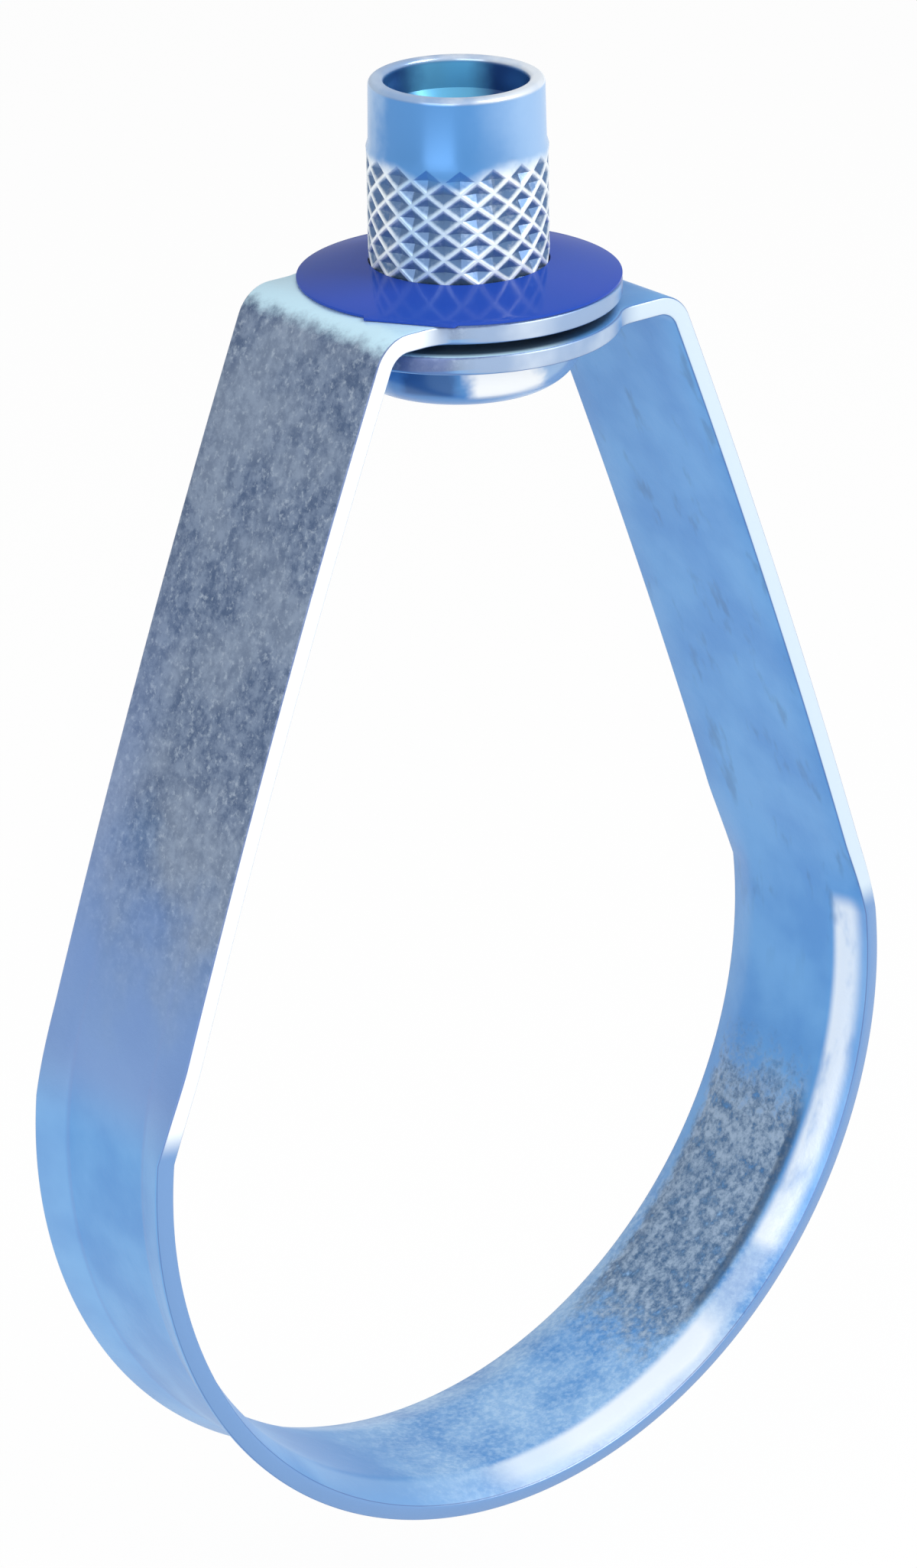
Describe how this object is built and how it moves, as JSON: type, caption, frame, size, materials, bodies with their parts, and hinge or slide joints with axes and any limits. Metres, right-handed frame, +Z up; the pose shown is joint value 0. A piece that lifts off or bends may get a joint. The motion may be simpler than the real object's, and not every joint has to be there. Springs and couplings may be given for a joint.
{
  "type": "loop hanger",
  "caption": "Adjustable swivel loop pipe hanger: teardrop strip band with flared cradle edges, knurled swivel nut for a threaded rod and a thin retaining washer.",
  "frame": {"origin": "centre of the pipe that the cradle carries, midway along the band's width", "axes": "+Z up along the threaded rod's axis, +Y along the pipe, +X towards the arm whose eye lies below"},
  "size_m": [0.068, 0.0228, 0.1085],
  "materials": {
    "band_zinc": "pre-galvanised steel strip, blue cast, mottled",
    "nut_zinc": "bright zinc plating with a blue cast",
    "washer_film": "deep blue, glossy"
  },
  "bodies": {
    "nut": {"swivel_nut": "nut_zinc", "retaining_washer": "washer_film"},
    "band": {"loop_band": "band_zinc"}
  },
  "joints": [
    {"name": "swivel", "type": "hinge", "parent": "nut", "child": "band", "pos_m": [0, 0, 0.06], "axis": [0, 0, 1], "continuous": true}
  ]
}
